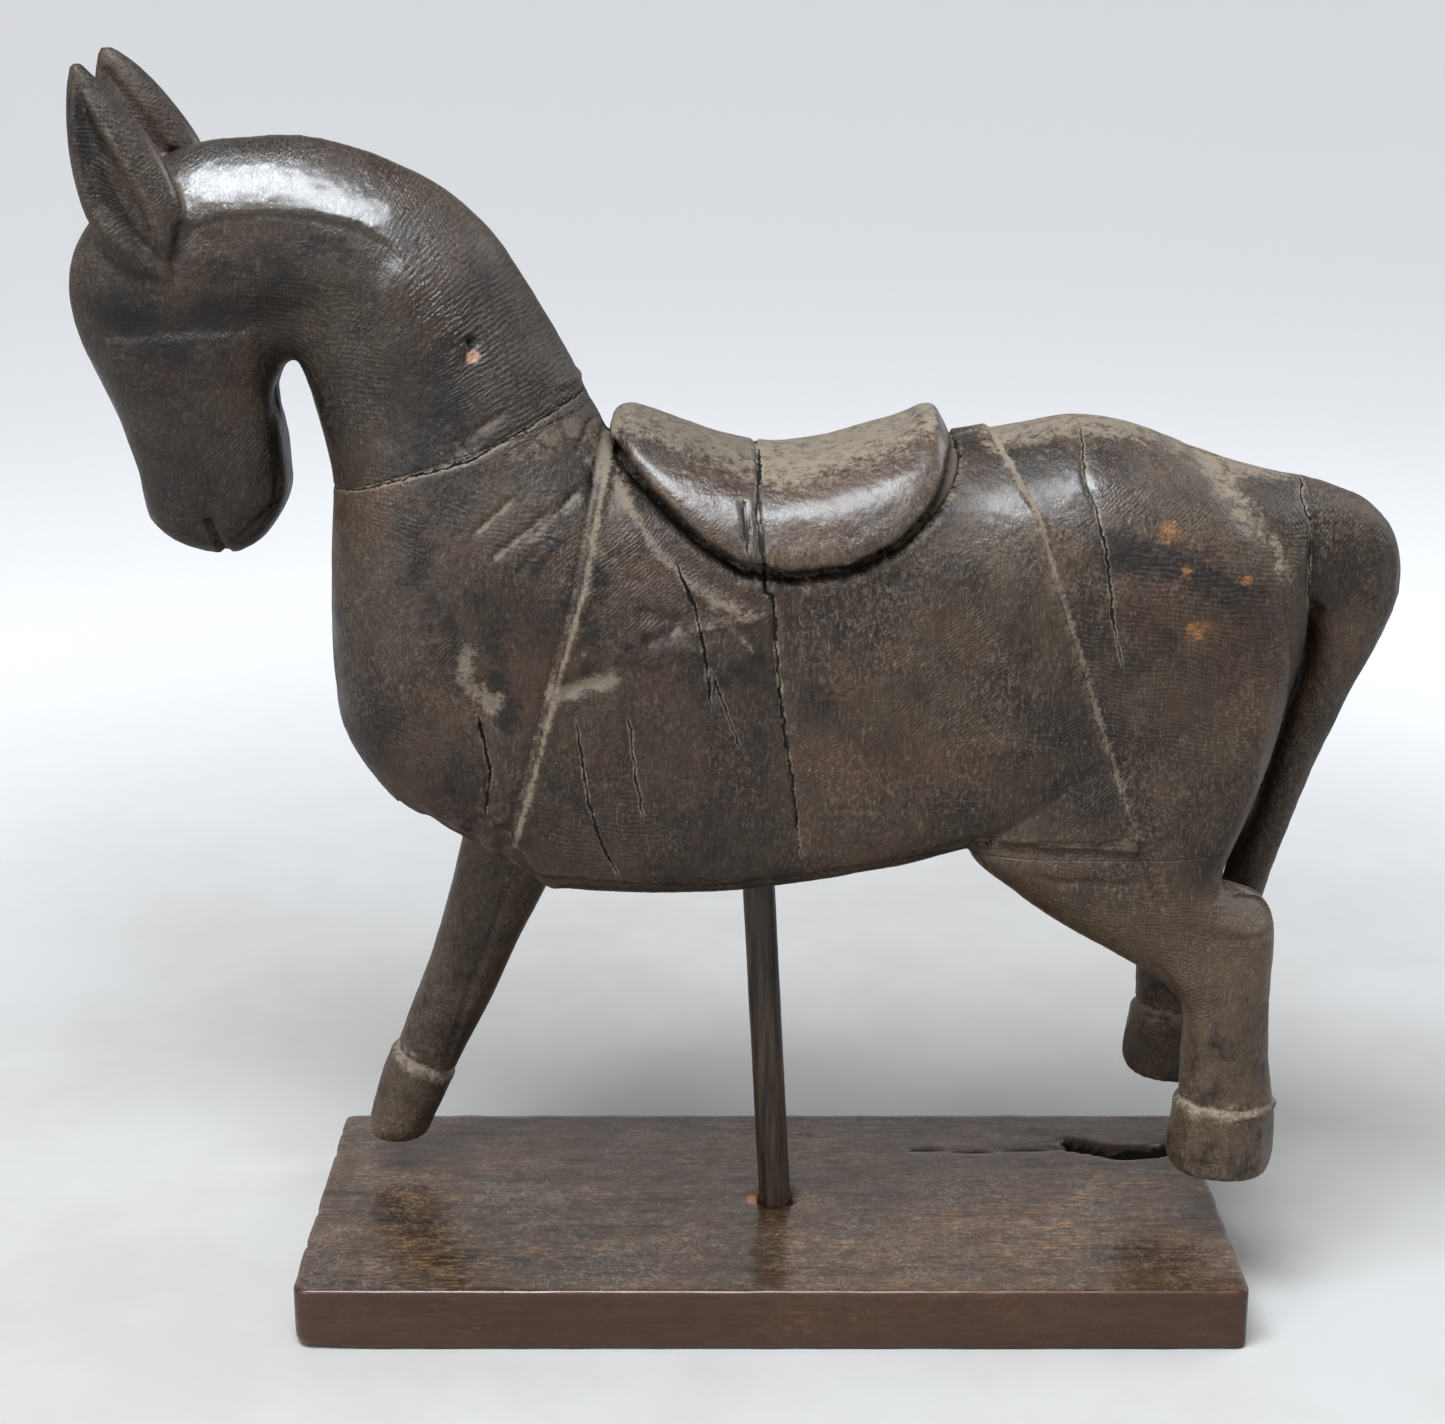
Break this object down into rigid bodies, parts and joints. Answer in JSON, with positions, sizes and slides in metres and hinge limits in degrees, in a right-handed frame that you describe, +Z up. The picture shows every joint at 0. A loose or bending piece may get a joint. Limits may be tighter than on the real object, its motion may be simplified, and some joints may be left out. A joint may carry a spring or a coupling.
{
  "type": "carved wooden horse on stand",
  "caption": "Carved wooden horse figurine with saddle, held clear of a flat rectangular board by one round rod that it can be turned on",
  "frame": {"origin": "centre of the underside of the board", "axes": "+Z up, the horse looks towards -X, its left side faces -Y, its right side faces +Y"},
  "size_m": [0.4152, 0.129, 0.402],
  "materials": {
    "board_wood": "old dark plank, waxed, worn red-brown along the front edge",
    "body_wood": "very dark carved wood, waxed sheen, dust in the recesses",
    "leg_wood": "very dark carved wood, satin, rubbed lighter at the hooves",
    "rod_wood": "dark stained round rod, satin",
    "dowel_wood": "plain unfinished round dowel"
  },
  "bodies": {
    "stand": {"base_board": "board_wood"},
    "figure": {"support_rod": "rod_wood", "forequarters": "body_wood", "hindquarters": "body_wood", "head_and_neck": "body_wood", "right_foreleg": "leg_wood", "left_hind_leg": "leg_wood", "right_hind_leg": "leg_wood", "tail": "leg_wood", "neck_dowel": "dowel_wood", "barrel_dowels": "dowel_wood", "foreleg_dowel": "dowel_wood", "hind_leg_dowels": "dowel_wood", "tail_dowel": "dowel_wood"}
  },
  "joints": [
    {"name": "figure_swivel", "type": "hinge", "parent": "stand", "child": "figure", "pos_m": [0.0025, 0, 0.021], "axis": [-0.0523, 0, 0.9986], "continuous": true}
  ]
}
